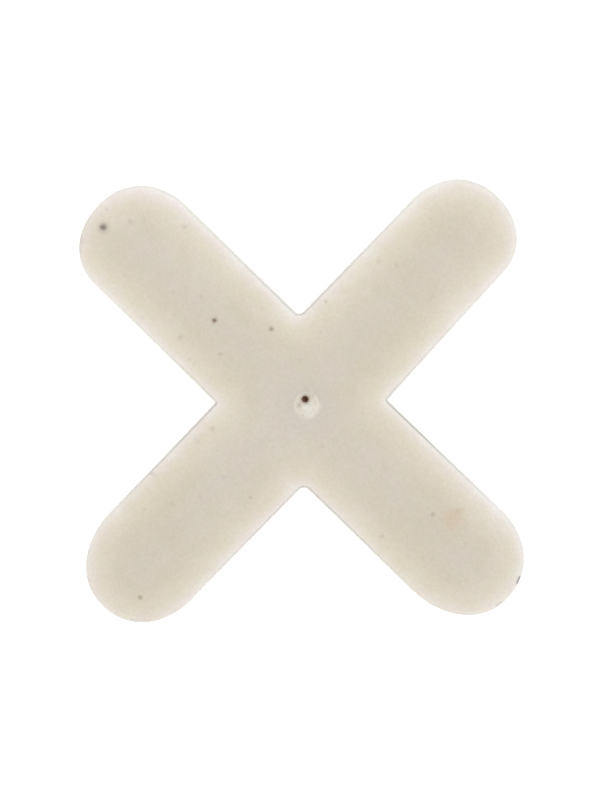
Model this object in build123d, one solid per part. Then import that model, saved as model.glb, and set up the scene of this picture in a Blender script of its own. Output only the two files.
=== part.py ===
from build123d import *
import os

# A cross-shaped tile spacer, moulded in one shot from a cream polyolefin.
# It lies flat where four tile corners meet, and each arm keeps one grout joint open.
# The arms run along X and Y, the base is at z = 0 and the gate face looks up.

# Driving sizes, in millimetres and degrees
joint_width = 6.35            # grout joint that an arm sets, across its base
arm_reach = 15.0              # middle of the cross to the tip of an arm
thickness = 4.8               # base to gate face
draft_angle = 1.0             # each wall leans in by this towards the gate face
rim_radius = 0.20             # rounding round the gate face
soft_notch_radius = 0.30      # the two inner corners with a visible round
crisp_notch_radius = 0.05     # the two inner corners that look sharp

# The gate mark, where the sprue was twisted off
gate_place = (0.01, -0.40)    # centre of the mark, from the middle of the cross
gate_diameter = 1.38
gate_floor_diameter = 1.24
gate_depth = 0.08
stub_offset = (-0.08, -0.18)  # torn stub's centre, from the centre of the mark
stub_diameter = 0.66
stub_tip_diameter = 0.40
stub_height = 0.06            # stands on the mark's floor
pinhole_offset = (0.20, 0.31)  # void drawn down the sprue, from the centre of the mark
pinhole_diameter = 0.43
pinhole_depth = 1.0           # straight wall, below the mark's floor
pinhole_tip = 0.25            # the void closes to a point over this depth

# Marks of the four pins that push the moulding out, one in the base of each arm
ejector_diameter = 3.0
ejector_depth = 0.10

end_centre = arm_reach - joint_width / 2  # centre of an arm's round end
hung = Align.CENTER, Align.CENTER, Align.MAX
stood = Align.CENTER, Align.CENTER, Align.MIN


def inner_corners(cross, side):
    """Upright edges where two arms meet: side 1 gives those over the x = y line, -1 the others."""
    return cross.edges().group_by(lambda e: abs(e.center().X - side * e.center().Y))[0]


def moulded_cross():
    """Two drafted, round-ended bars crossed square, widest at the parting line round the base."""
    bar = extrude(SlotOverall(2 * arm_reach, joint_width), thickness, taper=draft_angle)
    cross = bar + Rot(0, 0, 90) * bar
    cross = fillet(inner_corners(cross, 1), soft_notch_radius)
    cross = fillet(inner_corners(cross, -1), crisp_notch_radius)
    rim = cross.faces().sort_by(Axis.Z)[-1].edges()
    return fillet(rim, rim_radius)


def gate_mark(body):
    """A shallow cup in the gate face, holding a torn stub and the sprue's void."""
    mark = Pos(gate_place[0], gate_place[1], thickness)
    body -= mark * Cone(gate_floor_diameter / 2, gate_diameter / 2, gate_depth, align=hung)
    stub = Cone(stub_diameter / 2, stub_tip_diameter / 2, stub_height, align=stood)
    body += mark * Pos(*stub_offset, -gate_depth) * stub
    straight = gate_depth + pinhole_depth
    void = Cylinder(pinhole_diameter / 2, straight, align=hung)
    void += Pos(0, 0, -straight) * Cone(0, pinhole_diameter / 2, pinhole_tip, align=hung)
    return body - mark * Pos(*pinhole_offset, 0) * void


def ejector_marks():
    """One shallow disc under the round end of each arm, where a pin pushed."""
    disc = Cylinder(ejector_diameter / 2, ejector_depth, align=stood)
    return [Rot(0, 0, 90 * arm) * Pos(end_centre, 0, 0) * disc for arm in range(4)]


spacer = gate_mark(moulded_cross()) - ejector_marks()

os.makedirs("parts", exist_ok=True)
export_step(spacer, "parts/spacer.step")
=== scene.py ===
from collections import namedtuple
from math import pi, radians, tan

import bpy
import numpy as np
from mathutils import Color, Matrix, Vector, geometry, noise


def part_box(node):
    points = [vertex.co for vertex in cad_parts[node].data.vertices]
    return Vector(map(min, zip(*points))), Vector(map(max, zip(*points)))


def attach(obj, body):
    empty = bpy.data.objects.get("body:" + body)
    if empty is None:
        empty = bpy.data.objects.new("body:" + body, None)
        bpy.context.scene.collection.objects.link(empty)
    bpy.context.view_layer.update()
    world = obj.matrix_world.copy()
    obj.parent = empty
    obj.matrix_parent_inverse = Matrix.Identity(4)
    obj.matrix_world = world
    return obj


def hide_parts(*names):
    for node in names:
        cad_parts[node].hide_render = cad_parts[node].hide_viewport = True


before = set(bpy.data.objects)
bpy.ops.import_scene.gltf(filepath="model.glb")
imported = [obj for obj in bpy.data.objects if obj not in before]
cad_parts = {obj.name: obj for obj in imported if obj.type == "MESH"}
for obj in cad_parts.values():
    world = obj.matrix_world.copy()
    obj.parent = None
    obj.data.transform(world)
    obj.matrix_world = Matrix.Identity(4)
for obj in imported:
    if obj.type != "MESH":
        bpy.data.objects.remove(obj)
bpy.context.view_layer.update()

# Camera
# It hangs straight above the spacer with a long lens, as on a copy stand. The spacer lies turned
# on the table, so that its arms make an X in the picture.
MM = 0.001
lens_height = 350.0         # of the lens above the table
table_shown = 42.33         # of the table, from the top of the picture to its foot
table_turn = 46.07          # from the picture's right round to the first arm, in degrees
aimed_at = (-0.014, 0.075)  # under the lens, from the middle of the spacer

camera_data = bpy.data.cameras.new("copy_stand_camera")
camera_data.lens = camera_data.sensor_width * lens_height / table_shown
camera = bpy.data.objects.new("copy_stand_camera", camera_data)
camera.location = Vector((*aimed_at, lens_height)) * MM
camera.rotation_euler.z = radians(-table_turn)
bpy.context.scene.collection.objects.link(camera)
bpy.context.scene.camera = camera

# Spacer
# One shot of cream, slightly translucent polyolefin. Its walls lean in towards the gate face, where the
# sprue was twisted off, and it left the mould with its arms a little uneven. It is flecked with dirt.

# Sizes are in millimetres. A place on the plan is a complex number, so times 1j it moves on by one arm.
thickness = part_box("spacer")[1].z / MM
draft_angle = radians(1.0)
rim_radius = 0.20
foot_radius = 0.03
flash_height, flash_reach = 0.12, 0.01  # lip left by the parting line, round the base

# A flank runs straight from its half width at the notch to the one at its shoulder, where the round end
# begins. Its last number is how strong the painted shade line along its rim is, up to 1. An arm's tip is
# how far out it reaches, and its left notch is how round the corner on its left is.
Flank = namedtuple("Flank", "at_notch at_shoulder shoulder dirt")
Arm = namedtuple("Arm", "right left tip left_notch")
notch_start = 3.2
arms = [
    Arm(Flank(3.24, 3.01, 12.2, 0.22), Flank(3.19, 3.18, 11.5, 0.30), tip=14.89, left_notch=0.28),
    Arm(Flank(3.17, 3.24, 11.5, 0.30), Flank(3.21, 3.16, 12.1, 0.12), tip=14.81, left_notch=0.05),
    Arm(Flank(3.21, 3.21, 11.1, 0.50), Flank(3.20, 3.14, 11.5, 0.33), tip=15.00, left_notch=0.34),
    Arm(Flank(3.12, 3.17, 11.0, 0.42), Flank(3.20, 3.21, 11.6, 0.62), tip=15.00, left_notch=0.05),
]
end_fullness = 2.12  # 2 is an ellipse, and more is squarer
end_points, notch_points, flank_step = 97, 9, 0.25


def unit(step):
    """A step of length 1 the same way."""
    return step / abs(step)


def flank_ends(flank, side, quarter):
    """Where a flank passes the notch and where it ends at the shoulder. Side is -1 or 1, right or left."""
    near = complex(notch_start, side * flank.at_notch)
    far = complex(flank.shoulder, side * flank.at_shoulder)
    return near * 1j ** quarter, far * 1j ** quarter


def round_end(arm, quarter):
    """The end of an arm, from its right shoulder over the tip to its left shoulder."""
    right, left = flank_ends(arm.right, -1, quarter), flank_ends(arm.left, 1, quarter)
    ahead = unit(unit(right[1] - right[0]) + unit(left[1] - left[0]))
    right, left = right[1] / ahead, left[1] / ahead
    turn = np.linspace(-pi / 2, pi / 2, end_points)
    begin = np.where(turn < 0, right.real, left.real)
    along = begin + (arm.tip - begin) * np.cos(turn) ** (2 / end_fullness)
    bulge = np.sign(turn) * np.abs(np.sin(turn)) ** (2 / end_fullness)
    across = (left.imag + right.imag) / 2 + (left.imag - right.imag) / 2 * bulge
    return (along + 1j * across) * ahead


def notch_round(first, second, radius):
    """The rounded corner where two flanks meet, from the first flank to the second."""
    one, two, gap = unit(first[1] - first[0]), unit(second[1] - second[0]), second[0] - first[0]
    corner = first[0] + one * (gap.conjugate() * two).imag / (one.conjugate() * two).imag
    half_angle = abs(np.angle(two / one)) / 2
    centre = corner + unit(one + two) * radius / np.sin(half_angle)
    start = corner + one * radius / np.tan(half_angle) - centre
    end = corner + two * radius / np.tan(half_angle) - centre
    return centre + start * (end / start) ** np.linspace(0, 1, notch_points)


def stretch(start, end):
    """Places along a straight flank, between its ends."""
    count = round(abs(end - start) / flank_step)
    return start + (end - start) * np.arange(1, count) / count


def plan_outline():
    """The cross at its base, seen from above, anticlockwise from the first arm's right shoulder."""
    run = []
    for quarter, arm in enumerate(arms):
        follower = arms[(quarter + 1) % 4]
        end, next_end = round_end(arm, quarter), round_end(follower, quarter + 1)
        left = flank_ends(arm.left, 1, quarter)
        right = flank_ends(follower.right, -1, quarter + 1)
        corner = notch_round(left, right, arm.left_notch)
        run += [end, stretch(end[-1], corner[0]), corner, stretch(corner[-1], next_end[0])]
    return np.concatenate(run)


outline = plan_outline()
outward = -1j * unit(np.roll(outline, -1) - np.roll(outline, 1))
outline_runs = list(zip(outline, np.roll(outline, -1)))


def edge_distance(places):
    """How far each place lies from the outline."""
    nearest = np.full(len(places), np.inf)
    for start, end in outline_runs:
        along = end - start
        share = np.clip(((places - start) * along.conjugate()).real / abs(along) ** 2, 0, 1)
        nearest = np.minimum(nearest, abs(places - start - share * along))
    return nearest


def within(places):
    """Whether each place lies inside the outline, which then goes once round it."""
    return sum(np.angle((end - places) / (start - places)) for start, end in outline_runs) > pi


def rim_line_shade(places):
    """How strong the painted shade line along the rim is, by the flank that each place belongs to."""
    quarters = np.round(np.angle(places) / (pi / 2)).astype(int) % 4
    on_left = (places / 1j ** quarters).imag > 0
    dirt = np.array([(arm.right.dirt, arm.left.dirt) for arm in arms])
    return dirt[quarters, on_left.astype(int)]


def smooth(share):
    """Eases from 0 to 1 as share does."""
    share = np.clip(share, 0, 1)
    return share * share * (3 - 2 * share)


def ragged(places, size, seed):
    """Noise from -1 to 1 over the plan, with bumps of this size."""
    return np.array([noise.noise(Vector((p.real / size, p.imag / size, seed))) for p in places])


# The sprue left a shallow cup, with a torn stub on its floor and the void that ran down the sprue's middle
gate = 0.01 - 0.40j
gate_radius, gate_floor_radius, gate_depth = 0.69, 0.62, 0.08
lip_height, lip_width = 0.006, 0.05
stub, stub_radius, stub_tip_radius, stub_height = gate - 0.08 - 0.18j, 0.33, 0.20, 0.06
torn_size, torn_height = 0.13, 0.02
pinhole, pinhole_radius, pinhole_depth, pinhole_tip = gate + 0.20 + 0.31j, 0.215, 1.0, 0.25
throat_radii = {0.02: 0.20, 0.05: 0.185, 0.12: 0.17, 0.5: 0.165, pinhole_depth: 0.155}  # by depth
sink_depth, sink_reach = 0.03, 3.0


def gate_face_height(places):
    """The gate face, which sank a little between its rims as it cooled, with the sprue's mark in it."""
    sunk = thickness - sink_depth * smooth((edge_distance(places) - rim_radius) / sink_reach)
    out = abs(places - gate)
    cup = smooth((gate_radius - out) / (gate_radius - gate_floor_radius))
    lip = lip_height * np.exp(-((out - gate_radius - lip_width) / lip_width) ** 2)
    stump = smooth((stub_radius - abs(places - stub)) / (stub_radius - stub_tip_radius))
    torn = stub_height * stump + torn_height * ragged(places, torn_size, seed=4.0)
    return sunk + lip + cup * (torn - gate_depth)


def flat(height):
    """The same height at every place."""
    return lambda places: np.full(len(places), height)


def ring(centre, radius, step):
    """Places on a circle, anticlockwise."""
    count = round(2 * pi * radius / step)
    return centre + radius * np.exp(2j * pi * np.arange(count) / count)


def honeycomb(centre, reach, step):
    """Places in a honeycomb pattern, out to this reach from a centre."""
    row_spacing = 0.866  # where the places in a row are 1 apart
    count = int(1.2 * reach / step) + 1  # more rows than the reach has steps, because they lie closer
    rows, columns = np.mgrid[-count:count + 1, -count:count + 1]
    places = (((columns + 0.5 * (rows % 2)) + 1j * row_spacing * rows) * step).ravel()
    return centre + places[abs(places) < reach]


class Shell:
    """The vertices and faces of a piece. A loop is a ring of places with the numbers of their vertices."""

    def __init__(self):
        self.places, self.heights, self.faces, self.count = [], [], [], 0

    def add(self, places, heights):
        """Adds vertices and numbers them."""
        numbers = np.arange(self.count, self.count + len(places))
        self.places.append(places)
        self.heights.append(np.broadcast_to(heights, places.shape))
        self.count += len(places)
        return places, numbers

    def bridge(self, lower, upper):
        """Quads from one loop to another. They face outward when the second is the upper one."""
        low, high = lower[1], upper[1]
        self.faces += np.column_stack([low, np.roll(low, -1), np.roll(high, -1), high]).tolist()

    def close(self, loop, place, height):
        """Triangles from a loop to one point."""
        (tip,) = self.add(np.array([place]), height)[1]
        self.faces += [[a, b, tip] for a, b in zip(loop[1], np.roll(loop[1], -1))]

    def face(self, loops, loose, height_of, up, keep=None):
        """Triangles between loops and over loose places, facing up or down, and only where keep says so."""
        fresh = self.add(loose, height_of(loose))
        places = np.concatenate([place for place, _ in [*loops, fresh]])
        numbers = np.concatenate([number for _, number in [*loops, fresh]])
        edges, first = [], 0
        for place, _ in loops:
            edges += [(first + i, first + (i + 1) % len(place)) for i in range(len(place))]
            first += len(place)
        points = [Vector((p.real, p.imag)) for p in places]
        inside_only, merged_within = 1, 1e-7
        corners = np.array(geometry.delaunay_2d_cdt(points, edges, [], inside_only, merged_within)[2])
        if keep:
            corners = corners[keep(places[corners].mean(1))]
        self.faces += numbers[corners if up else corners[:, ::-1]].tolist()

    def spread(self):
        """The place and height of each vertex."""
        return np.concatenate(self.places), np.concatenate(self.heights)

    def mesh(self, name):
        """Makes the mesh."""
        plan, heights = self.spread()
        made = bpy.data.meshes.new(name)
        made.from_pydata((np.column_stack([plan.real, plan.imag, heights]) * MM).tolist(), [], self.faces)
        return made


shell = Shell()

# Its outer wall, from the foot up over the rim
rim_points = 9
turn = np.radians(np.linspace(0, 90, rim_points))
rim_start = thickness - rim_radius
plain_start, plain_end, plain_rows = 0.4, rim_start - 0.3, 6  # the stretch between the flash and the rim
wall_heights = np.concatenate([
    foot_radius * (1 - np.cos(turn[::2])),
    [flash_height, flash_height + flash_reach],
    np.linspace(plain_start, plain_end, plain_rows),
    rim_start + rim_radius * np.sin(turn),
])
wall_insets = wall_heights * tan(draft_angle) + np.concatenate([
    foot_radius * (1 - np.sin(turn[::2])),
    [0.0, flash_reach],
    np.full(plain_rows, flash_reach),
    flash_reach + rim_radius * (1 - np.cos(turn)),
])
wall = [shell.add(outline - outward * inset, height) for height, inset in zip(wall_heights, wall_insets)]
for lower, upper in zip(wall, wall[1:]):
    shell.bridge(lower, upper)
wall_count = shell.count

# Its gate face, with finer triangles round the sprue's mark
face_step, gate_step, gate_margin = 0.30, 0.03, 0.25
gate_zone = gate_radius + gate_margin
hole_places = ring(pinhole, pinhole_radius, gate_step)
hole = shell.add(hole_places, gate_face_height(hole_places))
plain = honeycomb(0, max(arm.tip for arm in arms), face_step)
plain = plain[within(plain) & (edge_distance(plain) > wall_insets[-1] + face_step / 2)]
near_gate = honeycomb(gate, gate_zone, gate_step)
near_gate = near_gate[abs(near_gate - pinhole) > pinhole_radius + gate_step / 2]
loose = np.concatenate([plain[abs(plain - gate) > gate_zone + face_step / 2], near_gate])
shell.face([wall[-1], hole], loose, gate_face_height, True, lambda p: abs(p - pinhole) > pinhole_radius)

# The void, down to its tip
upper = hole
for depth, radius in throat_radii.items():
    throat_places = pinhole + (hole_places - pinhole) * radius / pinhole_radius
    lower = shell.add(throat_places, gate_face_height(hole_places) - depth)
    shell.bridge(upper, lower)
    upper = lower
shell.close(upper, pinhole, thickness - gate_depth - pinhole_depth - pinhole_tip)

# Its base, with the marks of the pins that pushed it out, one under each round end
ejector_reach, ejector_radius, ejector_depth, ejector_step = 11.825, 1.5, 0.10, 0.15
ejector_floor_share = 0.99  # of the mark's rim
ejectors = []
for quarter in range(4):
    centre = ejector_reach * 1j ** quarter
    rim = shell.add(ring(centre, ejector_radius, ejector_step), 0.0)
    floor_edge = shell.add(centre + (rim[0] - centre) * ejector_floor_share, ejector_depth)
    shell.bridge(floor_edge, rim)
    middle = honeycomb(centre, ejector_radius - face_step / 2, face_step)
    shell.face([floor_edge], middle, flat(ejector_depth), False)
    ejectors.append(rim)


def outside_ejectors(places, margin=0.0):
    """Whether each place lies outside all four pin marks."""
    centres = ejector_reach * 1j ** np.arange(4)
    return abs(places[:, None] - centres).min(1) > ejector_radius + margin


loose = plain[outside_ejectors(plain, face_step / 2)]
shell.face([wall[0], *ejectors], loose, flat(0.0), False, outside_ejectors)

mesh = shell.mesh("cream_spacer")
mesh.shade_smooth()
mesh.set_sharp_from_angle(angle=radians(35))

# Light comes in through its edges, most on the side of the first arm. At some places it reaches further in
# than at others: where, how far along the edge, and by how much.
plan, heights = shell.spread()
glow_shift = 0.10
glow_places = plan + glow_shift
glow_distance = np.where(within(glow_places), edge_distance(glow_places), 0)
for where, reach, further in [
    (11.4 + 3.1j, 2.0, 0.20), (-3.1 + 10.5j, 3.0, 0.15), (2.7 + 13.0j, 1.3, 0.12),
    (5.6 - 3.2j, 1.8, 0.08), (-11.5 + 3.1j, 1.5, 0.08), (-1.4 + 14.3j, 1.6, -0.15),
    (-2.4 - 13.6j, 1.5, -0.09), (-5.6 - 3.2j, 2.0, -0.07),
]:
    glow_distance -= further * np.exp(-(abs(plan - where) / reach) ** 2)
in_hole = (abs(plan - pinhole) < pinhole_radius + gate_step / 4) & (heights > thickness / 2)
mesh_values = {
    "edge_distance": edge_distance(plan),
    "glow_distance": glow_distance,
    "rim_line_shade": rim_line_shade(plan),
    "on_wall": (np.arange(shell.count) < wall_count) & (heights <= rim_start),
    "hole_depth": np.where(in_hole, thickness - gate_depth - heights, 0),
}
for name, values in mesh_values.items():
    mesh.attributes.new(name, "FLOAT", "POINT").data.foreach_set("value", values.astype(np.float32))


def add(tree, kind, inputs, **settings):
    """Places a shader node with its settings. An input is a value or another node's output."""
    made = tree.nodes.new("ShaderNode" + kind)
    for name, setting in settings.items():
        setattr(made, name, setting)
    for name, given in inputs.items():
        if isinstance(given, bpy.types.NodeSocket):
            tree.links.new(given, made.inputs[name])
        else:
            made.inputs[name].default_value = given
    return made.outputs


def mixed(tree, share, first, second, way="MIX"):
    """The first colour, turning into the second as share goes from 0 to 1."""
    colours = {0: share, 6: first, 7: second}  # a Mix node's sockets for colours, with its result at 2
    return add(tree, "Mix", colours, data_type="RGBA", blend_type=way)[2]


def ramped(tree, value, start, end, low=0.0, high=1.0, **settings):
    """Goes from low to high as a value goes from start to end."""
    inputs = {"Value": value, "From Min": start, "From Max": end, "To Min": low, "To Max": high}
    return add(tree, "MapRange", inputs, **settings)["Result"]


def paint(red, green, blue):
    """A colour given as on a screen, from 0 to 255."""
    return (*Color((red / 255, green / 255, blue / 255)).from_srgb_to_scene_linear(), 1.0)


def stain_group():
    """A round stain: full inside Core, gone beyond Reach."""
    tree = bpy.data.node_groups.new("stain", "ShaderNodeTree")
    for name, kind in {"Color": "Color", "Place": "Vector", "Centre": "Vector", "Core": "Float",
                       "Reach": "Float", "Strength": "Float", "Stain": "Color"}.items():
        tree.interface.new_socket(name, in_out="INPUT", socket_type="NodeSocket" + kind)
    tree.interface.new_socket("Color", in_out="OUTPUT", socket_type="NodeSocketColor")
    given = tree.nodes.new("NodeGroupInput").outputs
    out = add(tree, "VectorMath", {0: given["Place"], 1: given["Centre"]}, operation="DISTANCE")["Value"]
    share = ramped(tree, out, given["Reach"], given["Core"], 0.0, given["Strength"],
                   interpolation_type="SMOOTHSTEP")
    stained = mixed(tree, share, given["Color"], given["Stain"])
    tree.links.new(stained, tree.nodes.new("NodeGroupOutput").inputs["Color"])
    return tree


cream = bpy.data.materials.new("cream_polyolefin")
cream.use_nodes = True
tree = cream.node_tree
plastic = tree.nodes["Principled BSDF"]
object_place = add(tree, "TexCoord", {})["Object"]
place = add(tree, "VectorMath", {0: object_place, "Scale": 1 / MM}, operation="SCALE")["Vector"]


def clouds(size, seed, detail=2.0):
    """A mask of soft clouds of this size, from 0 to 1."""
    inputs = {"Vector": place, "W": seed, "Scale": 1 / size, "Detail": detail}
    height = add(tree, "TexNoise", inputs, noise_dimensions="4D")["Fac"]
    thin, thick = 0.35, 0.65  # the noise seldom goes further from its middle
    return ramped(tree, height, thin, thick)


def scaled(value, amount):
    """A mask or a distance times an amount or another mask."""
    return add(tree, "Math", {0: value, 1: amount}, operation="MULTIPLY")["Value"]


def measured(name):
    """One of the values that the mesh carries."""
    return add(tree, "Attribute", {}, attribute_name=name)["Fac"]


from_edge, on_wall, hole_depth = measured("edge_distance"), measured("on_wall"), measured("hole_depth")

# It looks paler towards its edges, where light comes through: the distance in from them, and the colour
glow_colours = {
    0.0: paint(247, 246, 244), 0.14: paint(243, 240, 238), 0.30: paint(238, 233, 227),
    0.50: paint(233, 227, 218), 0.85: paint(228, 220, 206), 1.30: paint(223, 214, 200),
    1.9: paint(218, 209, 195), 3.0: paint(216, 207, 196),
}
glow_reach = max(glow_colours)
wall_cream = paint(233, 227, 216)
ramp = tree.nodes.new("ShaderNodeValToRGB")
tree.links.new(scaled(measured("glow_distance"), 1 / glow_reach), ramp.inputs["Fac"])
stops = ramp.color_ramp.elements
stops.remove(stops[1])
for reach, glow_colour in glow_colours.items():
    stop = stops[0] if reach == 0 else stops.new(reach / glow_reach)
    stop.color = glow_colour
colour = mixed(tree, on_wall, ramp.outputs["Color"], wall_cream)

# The melt wasn't mixed evenly. Rosy clouds show best near its edges, and small yellowish ones, broad dull
# ones and a fine grain are all over it. The third arm's side is a little darker than the first arm's:
# painted shade, where the light falls off away from the first arm.
rosy_tint, yellowish_tint = (1.0, 0.935, 0.945, 1.0), (0.974, 0.991, 0.943, 1.0)
broad_tint, grain_tint = (0.96, 0.955, 0.915, 1.0), (0.94, 0.94, 0.945, 1.0)
falloff_shade_tint, first_side, side_reach = (0.96, 0.96, 0.96, 1.0), (0.8, 0.5, 0.0), 11.0
rosy_edge, rosy_inside, rosy_most, rosy_least = 0.5, 1.2, 0.68, 0.28
shown = ramped(tree, from_edge, rosy_inside, rosy_edge, rosy_least, rosy_most)
colour = mixed(tree, scaled(clouds(1.0, seed=1.0), shown), colour, rosy_tint, "MULTIPLY")
colour = mixed(tree, clouds(0.8, seed=5.0), colour, yellowish_tint, "MULTIPLY")
# Painted shade: darker towards the third arm, as the light falls off away from the first arm
towards_first = add(tree, "VectorMath", {0: place, 1: first_side}, operation="DOT_PRODUCT")["Value"]
colour = mixed(tree, ramped(tree, towards_first, side_reach, -side_reach), colour, falloff_shade_tint, "MULTIPLY")
colour = mixed(tree, clouds(5.0, seed=3.0), colour, broad_tint, "MULTIPLY")
colour = mixed(tree, clouds(0.16, seed=9.0, detail=3.0), colour, grain_tint, "MULTIPLY")

# Painted shade: a grey line along the foot of its rim, stronger on some flanks than on others, darkest
# towards the middle and least at the ends
line_start, line_darkest, line_paler, line_end = 0.07, 0.11, 0.14, 0.20  # in from the edge
shaded_within, unshaded_beyond = 8.0, 12.5                                  # out from the middle of the base
shade_line_grey = paint(165, 165, 170)
from_middle = add(tree, "VectorMath", {0: place}, operation="LENGTH")["Value"]
outer_side = ramped(tree, from_edge, line_start, line_darkest)
inner_side = ramped(tree, from_edge, line_end, line_paler)
inner_shade = ramped(tree, from_middle, unshaded_beyond, shaded_within)
shade_line_mask = scaled(scaled(outer_side, inner_side), inner_shade)
colour = mixed(tree, scaled(shade_line_mask, measured("rim_line_shade")), colour, shade_line_grey)

# A pepper of faint grains, each darkest in its core
pepper_spacing, pepper_strength = 1.4, 0.10
pepper_reach, pepper_core = 0.17 / pepper_spacing, 0.028 / pepper_spacing
pepper_brown = paint(90, 70, 50)
grains = add(tree, "TexVoronoi", {"Vector": place, "Scale": 1 / pepper_spacing})["Distance"]
peppered = ramped(tree, grains, pepper_reach, pepper_core, high=pepper_strength)
colour = mixed(tree, peppered, colour, pepper_brown)

# Stains have frayed edges, because the places that they are measured at are shifted a little by noise
stain = stain_group()
fray_size, fray_reach, noise_swing = 0.09, 0.03, 0.25  # the noise mostly swings this far
wobble = add(tree, "TexNoise", {"Vector": place, "Scale": 1 / fray_size, "Detail": 2.0})["Color"]
centred = add(tree, "VectorMath", {0: wobble, 1: (0.5, 0.5, 0.5)}, operation="SUBTRACT")["Vector"]
shift_scale = fray_reach / noise_swing
shift = add(tree, "VectorMath", {0: centred, "Scale": shift_scale}, operation="SCALE")["Vector"]
frayed_place = add(tree, "VectorMath", {0: place, 1: shift}, operation="ADD")["Vector"]


def stained(colour, where, core, reach, strength, stain_colour, height=thickness):
    """Adds one stain, on the gate face unless at another height."""
    centre = (where.real, where.imag, height)
    inputs = {"Color": colour, "Place": frayed_place, "Centre": centre, "Core": core, "Reach": reach,
              "Strength": strength, "Stain": stain_colour}
    return add(tree, "Group", inputs, node_tree=stain)["Color"]


# The face round the sprue's mark is a little duller
dullest_within, gone_beyond, dull_tint = 0.75, 1.90, (0.955, 0.965, 0.985, 1.0)
gate_middle = (gate.real, gate.imag, thickness)
from_gate = add(tree, "VectorMath", {0: place, 1: gate_middle}, operation="DISTANCE")["Value"]
colour = mixed(tree, ramped(tree, from_gate, gone_beyond, dullest_within), colour, dull_tint, "MULTIPLY")

# The plastic in the mark turned pale where it tore, with bruises over that and painted shade round the
# void's
# mouth: where, the distances at which it starts to fade and has gone, how strong it is, and its colour
whitened, floor_cream, mouth_painted_shade = paint(230, 223, 211), paint(213, 206, 191), paint(118, 96, 80)
bruised, blushed = paint(186, 177, 164), paint(236, 226, 214)
torn = mixed(tree, clouds(0.16, seed=31.0), paint(214, 214, 203), paint(229, 221, 212))
mark_height = thickness - gate_depth
mark_stains = [
    (gate, 0.64, 0.74, 0.80, whitened), (gate, 0.48, 0.62, 0.90, floor_cream),
    (-0.08 - 0.64j, 0.34, 0.52, 0.85, torn), (-0.24 - 0.08j, 0.0, 0.23, 0.85, bruised),
    (-0.52 - 0.60j, 0.0, 0.16, 0.45, bruised), (-0.69 - 0.39j, 0.0, 0.15, 0.35, bruised),
    (0.57 + 0.20j, 0.0, 0.26, 0.30, bruised), (-0.24 - 1.16j, 0.0, 0.22, 0.30, bruised),
    (0.54 - 0.19j, 0.0, 0.26, 0.45, bruised), (-0.22 - 0.92j, 0.0, 0.25, 0.50, blushed),
    (0.39 - 0.87j, 0.0, 0.24, 0.50, blushed), (pinhole, 0.14, 0.34, 0.86, mouth_painted_shade),
]
for where, core, reach, strength, stain_colour in mark_stains:
    colour = stained(colour, where, core, reach, strength, stain_colour, mark_height)

# Dirt in the melt and on the face: where, the distance at which it has gone, its strength and its colour
soot, lead, rust, rosy = paint(98, 56, 16), paint(66, 46, 54), paint(135, 95, 62), paint(212, 150, 120)
flecks = [
    (-0.65 + 13.72j, 0.27, 0.64, lead), (-0.65 + 13.72j, 0.47, 0.30, lead),
    (-0.12 + 6.18j, 0.20, 0.86, soot), (-0.12 + 6.18j, 0.36, 0.17, soot),
    (1.61 + 3.72j, 0.19, 0.50, soot), (1.61 + 3.72j, 0.34, 0.10, soot),
    (-13.23 - 1.07j, 0.20, 0.46, soot), (4.62 + 2.66j, 0.16, 0.23, soot), (-5.47 - 1.59j, 0.18, 0.19, soot),
    (0.51 - 9.06j, 0.18, 0.38, rust), (1.50 - 9.90j, 0.26, 0.16, rust), (0.75 - 10.08j, 0.36, 0.10, rosy),
    (1.78 - 10.02j, 0.13, 0.13, rust), (0.51 - 5.55j, 0.30, 0.08, rust), (-1.10 + 13.90j, 1.70, 0.04, lead),
    (-2.18 - 7.95j, 0.20, 0.18, soot), (-1.98 + 6.85j, 0.25, 0.16, soot), (-1.16 + 4.72j, 0.21, 0.19, soot),
    (2.32 + 10.71j, 0.25, 0.15, soot), (0.55 + 12.90j, 0.25, 0.14, soot), (1.10 + 12.40j, 0.12, 0.11, soot),
    (0.15 + 14.25j, 0.17, 0.13, soot), (-0.55 + 8.75j, 0.16, 0.14, rust), (-2.50 + 5.70j, 0.16, 0.13, soot),
    (8.05 + 2.15j, 0.24, 0.13, soot), (-4.25 + 2.35j, 0.24, 0.16, rust), (-5.25 + 2.45j, 0.30, 0.09, soot),
    (-8.55 + 1.15j, 0.22, 0.12, rust), (-8.15 + 3.00j, 0.18, 0.20, soot), (-8.10 + 2.80j, 0.25, 0.13, soot),
    (0.46 - 14.64j, 0.14, 0.12, soot), (1.05 - 9.95j, 1.00, 0.14, rosy),
]
for where, reach, strength, stain_colour in flecks:
    colour = stained(colour, where, 0.0, reach, strength, stain_colour)

# Grime in a nick of the rim at one tip, and along the rim near it and at two more tips: from where to
# where, the distance at which it has gone, and how strong it is
rim_height = thickness - 0.07  # a third of the way down the rim
smears = [
    (1.25 - 14.61j, 0.98 - 14.71j, 0.16, 0.60), (-0.32 - 14.82j, -0.64 - 14.76j, 0.11, 0.20),
    (-14.38 - 1.53j, -13.66 - 2.28j, 0.14, 0.12), (-1.82 + 14.20j, -2.42 + 13.62j, 0.14, 0.12),
]
for start, end, reach, strength in smears:
    dabs = round(abs(end - start) / reach) + 1
    for where in np.linspace(start, end, dabs):
        colour = stained(colour, where, 0.0, reach, strength, lead, rim_height)

# The void is painted pale cream, rosier towards its bottom: painted light, for the light that comes into it
# through the plastic
void_lit_cream, void_lit_bottom = paint(226, 212, 198), paint(246, 200, 186)
void_blend_depth, rosier_from, rosiest_from = 0.12, pinhole_depth - 0.1, pinhole_depth + 0.2
void_painted_light = mixed(tree, ramped(tree, hole_depth, rosier_from, rosiest_from), void_lit_cream, void_lit_bottom)
colour = mixed(tree, ramped(tree, hole_depth, 0.0, void_blend_depth), colour, void_painted_light)
tree.links.new(colour, plastic.inputs["Base Color"])

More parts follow.
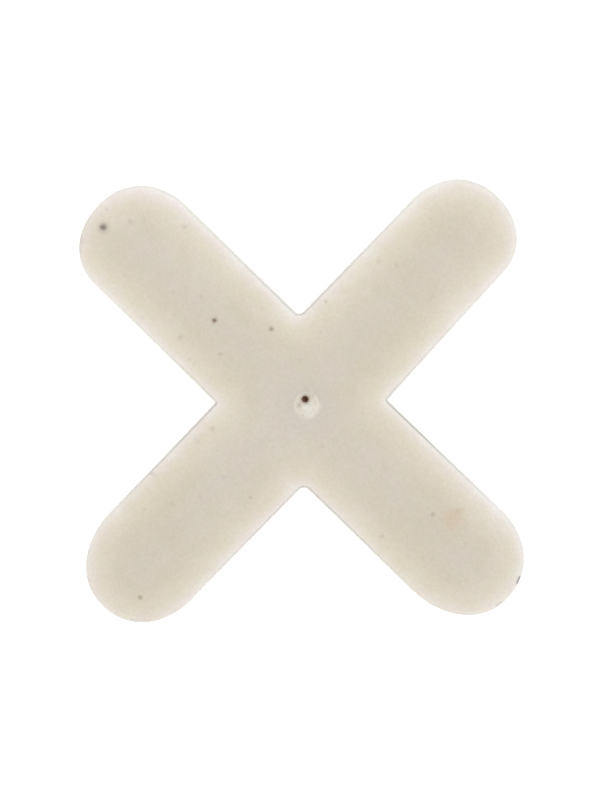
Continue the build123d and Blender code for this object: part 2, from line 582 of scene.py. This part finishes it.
# The faces have a fine grain and a slight orange peel. The walls are smoother, with drag marks up and down
# them from leaving the mould.
smoothest, roughest, wall_roughness = 0.50, 0.62, 0.25
grain_height, peel_height, drag_height = 0.004, 0.015, 0.01
drag_width, drag_length = 0.12, 4.0
roughness = ramped(tree, clouds(0.5, seed=13.0), 0.0, 1.0, smoothest, roughest)
roughness = add(tree, "Mix", {0: on_wall, 2: roughness, 3: wall_roughness})[0]
tree.links.new(roughness, plastic.inputs["Roughness"])
drawing_out = (1.0, 1.0, drag_width / drag_length)
drawn_out = add(tree, "VectorMath", {0: place, 1: drawing_out}, operation="MULTIPLY")["Vector"]
drag = add(tree, "TexNoise", {"Vector": drawn_out, "Scale": 1 / drag_width, "Detail": 2.0})["Fac"]
beneath = {}
for relief, relief_height in [
    (clouds(0.12, seed=17.0, detail=3.0), grain_height), (clouds(0.9, seed=21.0), peel_height),
    (scaled(drag, on_wall), drag_height),
]:
    inputs = {"Height": relief, "Strength": 0.5, "Distance": relief_height * MM, **beneath}
    beneath = {"Normal": add(tree, "Bump", inputs)["Normal"]}
tree.links.new(beneath["Normal"], plastic.inputs["Normal"])
plastic.inputs["Specular IOR Level"].default_value = 0.4
plastic.inputs["Subsurface Weight"].default_value = 0.15
plastic.inputs["Subsurface Radius"].default_value = (1.0, 0.8, 0.6)
plastic.inputs["Subsurface Scale"].default_value = 0.5 * MM
mesh.materials.append(cream)

spacer = bpy.data.objects.new("cream_spacer", mesh)
bpy.context.scene.collection.objects.link(spacer)
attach(spacer, "root")
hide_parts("spacer")

# Table
# A plain white sheet that the spacer lies on and sinks into by a hair. It looks white to the camera and to
# the plastic's gloss, and still takes the spacer's soft shadow. From underneath it can be seen through, and
# it has openings under the pin marks, so that the whole base takes the light from below.
table_half, table_middle, table_rise = 1000.0, 20.0, 0.002
inner_reach, inner_step = 5.0, 1.0
table_white, table_glow = (0.8, 0.8, 0.8, 1.0), 0.70
sheet = Shell()
square = np.array([-1 - 1j, 1 - 1j, 1 + 1j, -1 + 1j])
middle_square = sheet.add(square * table_middle, table_rise)
sheet.bridge(sheet.add(square * table_half, table_rise), middle_square)
openings = [sheet.add(rim, table_rise) for rim, _ in ejectors]
inner = honeycomb(0, inner_reach, inner_step)
sheet.face([middle_square, *openings], inner, flat(table_rise), True, outside_ejectors)
table_mesh = sheet.mesh("table_top")


def looked_at(tree):
    """1 for rays that should meet plain white: the camera's, and those of gloss and of clear things."""
    rays = add(tree, "LightPath", {})
    seen = rays["Is Camera Ray"]
    for kind in ("Is Glossy Ray", "Is Transmission Ray"):
        seen = add(tree, "Math", {0: seen, 1: rays[kind]}, operation="MAXIMUM")["Value"]
    return seen


white_sheet = bpy.data.materials.new("white_sheet")
white_sheet.use_nodes = True
tree = white_sheet.node_tree
tree.nodes.clear()
paper = add(tree, "BsdfDiffuse", {"Color": table_white})["BSDF"]
glow = add(tree, "Math", {0: looked_at(tree), 1: table_glow}, operation="MULTIPLY")["Value"]
lit = add(tree, "Emission", {"Strength": glow})["Emission"]
both = add(tree, "AddShader", {0: paper, 1: lit})["Shader"]
clear = add(tree, "BsdfTransparent", {})["BSDF"]
behind = add(tree, "NewGeometry", {})["Backfacing"]
surface = add(tree, "MixShader", {0: behind, 1: both, 2: clear})["Shader"]
tree.links.new(surface, tree.nodes.new("ShaderNodeOutputMaterial").inputs["Surface"])
table_mesh.materials.append(white_sheet)
table = bpy.data.objects.new("table_top", table_mesh)
bpy.context.scene.collection.objects.link(table)

# Light
# A white ceiling over walls that are less bright, and one wide soft box high up at the picture's foot.
# The camera, gloss and clear things see the whole room as plain white.
wall_level, ceiling_level = 0.66, 1.16
scene = bpy.context.scene
scene.view_settings.view_transform = "Standard"
room = bpy.data.worlds.new("white_room")
room.use_nodes = True
scene.world = room
tree = room.node_tree
facing = add(tree, "TexCoord", {})["Generated"]
upward = add(tree, "SeparateXYZ", {0: facing})["Z"]
bright = ramped(tree, upward, 0.0, 1.0, wall_level, ceiling_level)
level = add(tree, "Mix", {0: looked_at(tree), 2: bright, 3: 1.0})[0]
background = tree.nodes["Background"]
background.inputs["Color"].default_value = (1.0, 1.0, 1.0, 1.0)
tree.links.new(level, background.inputs["Strength"])

soft_box = bpy.data.lights.new("soft_box", "AREA")
soft_box.shape = "DISK"
soft_box.size = 0.4
soft_box.energy = 0.25
lamp = bpy.data.objects.new("soft_box", soft_box)
lamp.location = (-0.25, -0.25, 0.45)
lamp.rotation_euler = lamp.location.to_track_quat("Z", "Y").to_euler()
scene.collection.objects.link(lamp)
